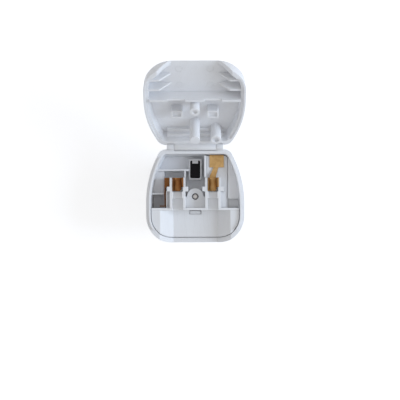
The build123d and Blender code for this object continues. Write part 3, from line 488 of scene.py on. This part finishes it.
def thread_ridge(centre, bottom, top, root, crest, pitch, steps):
    """Helix of a trapezoid: the angle grows by one turn for each pitch of height.

    The trapezoid reaches from just inside the root to the crest, which rises out of the root over the
    first half turn and runs out again over the last one.
    """
    run_out = 0.5
    least_rise = 0.02
    sunk_share = 0.25
    flank = np.array((0.40, 0.09, -0.09, -0.40)) * pitch
    turns = (top - bottom) / pitch - 1
    turn = np.linspace(0.0, turns, int(turns * steps))
    rise = np.clip(np.minimum(turn, turns - turn) / run_out, least_rise, 1.0)
    outer = root + (crest - root) * rise
    inner = np.full_like(outer, root - sunk_share * (crest - root))
    reach = np.stack((inner, outer, outer, inner), axis=1)
    height = bottom + 0.5 * pitch + pitch * turn[:, None] + flank
    angle = 2 * np.pi * turn[:, None]
    across = centre.x + reach * np.cos(angle)
    forth = centre.y + reach * np.sin(angle)
    return np.stack((across, forth, height), axis=-1)[None]


foot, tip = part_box("cover_screw")
shank_length = 0.0075
tip_lead = 0.0003
ridge = thread_ridge(
    centre=(foot + tip) / 2,
    bottom=tip.z - shank_length,
    top=tip.z - tip_lead,
    root=0.00144,
    crest=0.00160,
    pitch=0.0011,
    steps=40,
)
ring_stack("cover_screw_thread", ridge, screw_zinc, "base")

# Lid
# The upper half of the housing, the same white moulding as the base, with posts, pads and gusset ribs.
# It turns on a steel rod through the knuckles; ejector pins left round marks on its floor.
dress("lid", shell_white, shell_edge)
rod_edge = 0.00006
dress("hinge_pin", screw_zinc, rod_edge)


def ejector_marks(spots, radius, sectors):
    """Discs of revolution: one profile of reach and level is turned about each spot.

    The profile lies in the floor, and only a fine line near its rim stands out of it.
    """
    millimetre = 0.001
    reach = np.array((0.1, 1.0, 1.0, 0.985, 0.955, 0.93, 0.6, 0.1)) * radius
    level = np.array((-0.08, -0.08, 0.0, 0.025, 0.025, -0.02, -0.05, -0.05)) * millimetre
    angle = np.linspace(0.0, 2 * np.pi, sectors, endpoint=False)
    across = reach[:, None] * np.cos(angle)
    forth = reach[:, None] * np.sin(angle)
    disc = np.stack((across, forth, np.broadcast_to(level[:, None], across.shape)), axis=-1)
    return disc[None] + np.asarray(spots)[:, None, None, :]


# The spots are measured from the hinge along a lid that lies back flat, and then lean up with it
hinge = next(joint for joint in frame["record"]["behaviour"]["joints"] if joint["name"] == "lid_hinge")
lean = radians(180 - hinge["range_deg"][1])
turned = np.array(Matrix.Rotation(lean, 3, "X"))
lid_depth = 0.0071
mark_side = 0.0075
mark_rows = (0.0335, 0.0430)
spots = [(across, row, -lid_depth) for across in (-mark_side, mark_side) for row in mark_rows]
marks = ejector_marks(spots, radius=0.0017, sectors=56) @ turned.T + np.array(hinge["pos_m"])
mark_white = white_moulding("mark_white", **shell_colours, glow=0.0, depth=0.001)
ring_stack("lid_ejector_marks", marks, mark_white, "lid")

# Floor, light and camera
# A pale table under the pin tips, a wide soft lamp on the right and a bright room around.
# The camera looks straight down into the open base, as in the photograph.
half_floor = 3.0
corners = half_floor * np.array(((-1, -1), (1, -1), (1, 1), (-1, 1)))
sweep = bpy.data.meshes.new("floor")
sweep.from_pydata([(x, y, cad_box[0].z) for x, y in corners.tolist()], [], [(0, 1, 2, 3)])
floor = bpy.data.objects.new("floor", sweep)
bpy.context.scene.collection.objects.link(floor)


def seen_direct(tree):
    """1 for rays from the camera, from a mirror-like surface or through a clear one, else 0."""
    path = put(tree, "ShaderNodeLightPath").outputs
    near = sums(tree, "MAXIMUM", path["Is Camera Ray"], path["Is Glossy Ray"])
    return sums(tree, "MAXIMUM", near, path["Is Transmission Ray"])


# The floor keeps its shadow near the part, goes to white further off, and is see-through from below
white = (1, 1, 1, 1)
paper, tree, sockets = surface(
    "floor_paper",
    Base_Color=(0.8, 0.8, 0.81, 1),
    Roughness=0.9,
    Specular_IOR_Level=0.1,
    Emission_Color=white,
)
away = put(tree, "ShaderNodeVectorMath", i0=where(tree))
away.operation = "LENGTH"
lift = span(tree, away.outputs["Value"], low=0.2, high=1.2, start=0.48, end=0.55)
tree.links.new(sums(tree, "MULTIPLY", seen_direct(tree), lift), sockets["Emission Strength"])
below = put(tree, "ShaderNodeNewGeometry").outputs["Backfacing"]
clear = put(tree, "ShaderNodeBsdfTransparent").outputs[0]
opaque = tree.nodes["Principled BSDF"].outputs[0]
either = put(tree, "ShaderNodeMixShader", i0=below, i1=opaque, i2=clear)
tree.links.new(either.outputs[0], tree.nodes["Material Output"].inputs[0])
sweep.materials.append(paper)

room = bpy.data.worlds.new("room")
bpy.context.scene.world = room
room.use_nodes = True
tree = room.node_tree
tree.nodes.clear()
air = put(tree, "ShaderNodeBackground", Color=white, Strength=0.58).outputs[0]
backdrop = put(tree, "ShaderNodeBackground", Color=white, Strength=1.0).outputs[0]
either = put(tree, "ShaderNodeMixShader", i0=seen_direct(tree), i1=air, i2=backdrop)
tree.links.new(either.outputs[0], put(tree, "ShaderNodeOutputWorld").inputs[0])

lamp = bpy.data.lights.new("window", "AREA")
lamp.shape = "SQUARE"
lamp.size = 0.5
lamp.energy = 4.9
lamp.color = (0.86, 1.0, 1.19)
window = bpy.data.objects.new("window", lamp)
bpy.context.scene.collection.objects.link(window)
window.location = (0.866, 0.02, 0.51)
aim = Vector((0.0, 0.02, 0.01))
window.rotation_euler = (window.location - aim).to_track_quat("Z", "Y").to_euler()

bpy.context.scene.view_settings.view_transform = "Standard"
image_width = 400
focal_pixels = 965.4
lens = bpy.data.cameras.new("camera")
lens.sensor_width = 36.0
lens.lens = focal_pixels / image_width * lens.sensor_width
lens.clip_start = 0.01
camera = bpy.data.objects.new("camera", lens)
bpy.context.scene.collection.objects.link(camera)
tilt = Matrix.Rotation(radians(0.17), 4, "X")
roll = Matrix.Rotation(radians(-0.2), 4, "Z")
stand = Matrix.Translation((0.0024, 0.0050, 0.5))
camera.matrix_world = stand @ tilt @ roll
bpy.context.scene.camera = camera
